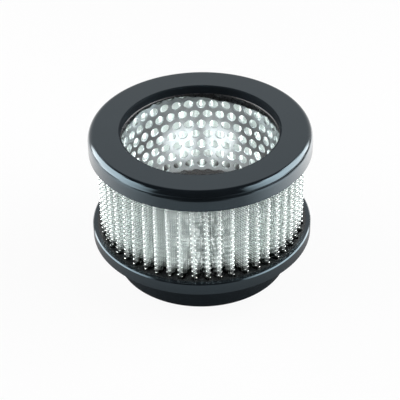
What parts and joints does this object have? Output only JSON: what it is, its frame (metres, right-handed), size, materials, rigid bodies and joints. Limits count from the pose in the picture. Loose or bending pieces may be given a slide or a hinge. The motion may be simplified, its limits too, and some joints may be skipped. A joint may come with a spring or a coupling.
{
  "type": "flame arrestor",
  "caption": "Round flame arrestor: a pleated wire screen round a perforated core tube, between a black cap with a clear window and a black base plate with a neck.",
  "frame": {"origin": "centre of the neck's lower end, on the surface that the part stands on", "axes": "+Z along the axis of the neck, from the neck towards the window"},
  "size_m": [0.107, 0.107, 0.0752],
  "materials": {
    "black_anodised": "gloss black anodised",
    "clear_window": "clear, polished",
    "black_sealant": "satin",
    "black_resin": "semi-gloss",
    "coarse_wire": "bright wire, plain weave",
    "fine_wire": "fine bright wire, plain weave",
    "clip_strip": "satin",
    "perforated_sheet": "bright, rolled"
  },
  "bodies": {
    "root": {"top_cap": "black_anodised", "base_plate": "black_anodised", "window": "clear_window", "window_seal": "black_sealant", "upper_resin": "black_resin", "lower_resin": "black_resin", "outer_screen": "coarse_wire", "flame_screen": "fine_wire", "seam_clip": "clip_strip", "core_tube": "perforated_sheet"}
  },
  "joints": []
}
